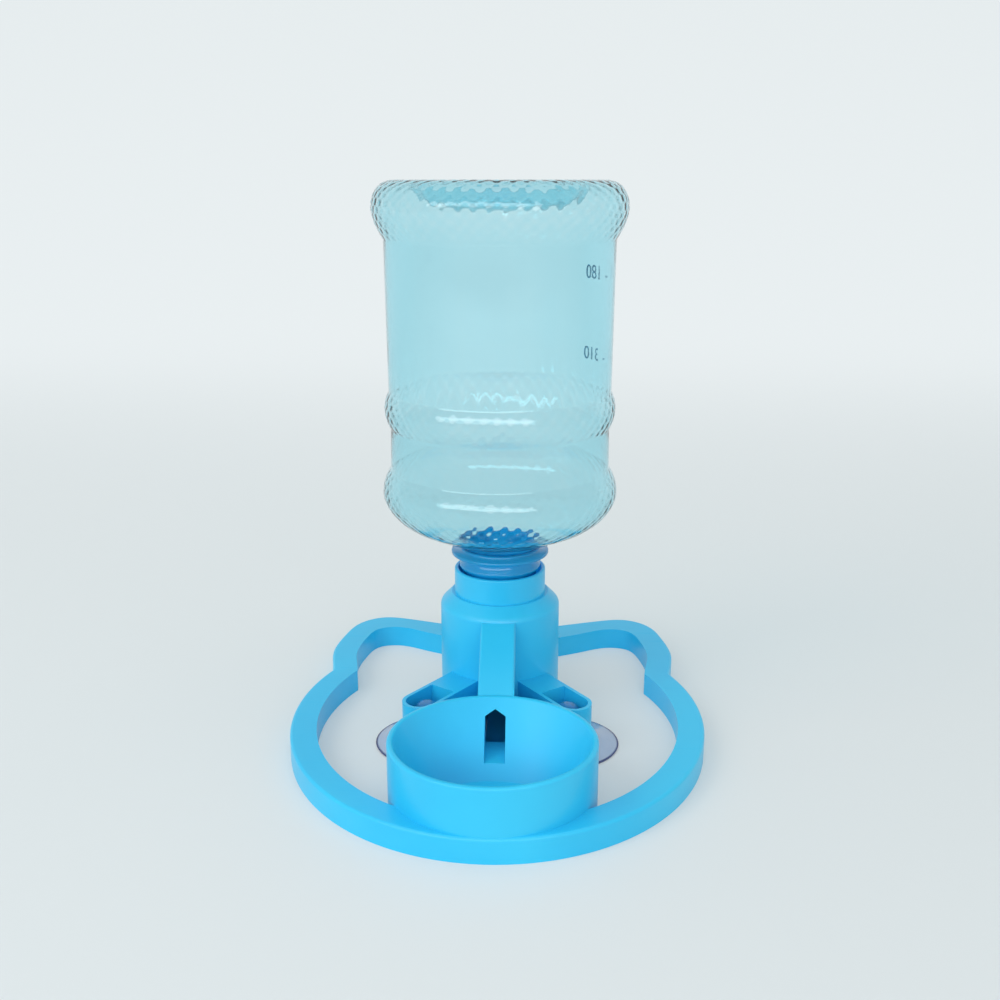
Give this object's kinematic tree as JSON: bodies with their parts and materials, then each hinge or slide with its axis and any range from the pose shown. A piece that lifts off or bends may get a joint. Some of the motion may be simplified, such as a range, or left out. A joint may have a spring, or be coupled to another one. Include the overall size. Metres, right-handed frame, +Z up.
{
  "type": "gravity pet water dispenser",
  "caption": "Floor-standing gravity water dispenser for small pets: an upturned screw-in bottle feeds a round bowl through a covered channel.",
  "frame": {"origin": "centre of the footprint, on the floor plane", "axes": "+Z up along the bottle, -Y towards the drinking bowl, X across the mirror plane"},
  "size_m": [0.1344, 0.1567, 0.1771],
  "materials": {
    "base_plastic": "satin moulded sky blue",
    "plate_plastic": "satin moulded sky blue",
    "seal_rubber": "soft silicone",
    "bottle_plastic": "clear blown bottle with dimpled bands",
    "cup_rubber": "clear soft vinyl"
  },
  "bodies": {
    "base": {"base_moulding": "base_plastic", "chamber_floor_plate": "plate_plastic"},
    "turning_seal": {"bottle_seal": "seal_rubber"},
    "bottle_body": {"bottle": "bottle_plastic"},
    "left_cup": {"suction_cup_left": "cup_rubber"},
    "right_cup": {"suction_cup_right": "cup_rubber"}
  },
  "joints": [
    {"name": "bottle_spin", "type": "hinge", "parent": "base", "child": "turning_seal", "pos_m": [0, 0.0222, 0.035], "axis": [0, 0, 1], "range_deg": [0, 720]},
    {"name": "bottle_lift", "type": "slide", "parent": "turning_seal", "child": "bottle_body", "axis": [0, 0, 1], "range_m": [0, 0.00637]},
    {"name": "left_cup_swivel", "type": "hinge", "parent": "base", "child": "left_cup", "pos_m": [-0.023, -0.01004, 0], "axis": [0, 0, 1], "continuous": true},
    {"name": "right_cup_swivel", "type": "hinge", "parent": "base", "child": "right_cup", "pos_m": [0.023, -0.01004, 0], "axis": [0, 0, 1], "continuous": true}
  ],
  "couplings": [
    {"joint": "bottle_lift", "follows": "bottle_spin", "m_per_rad": 0.00050611}
  ]
}
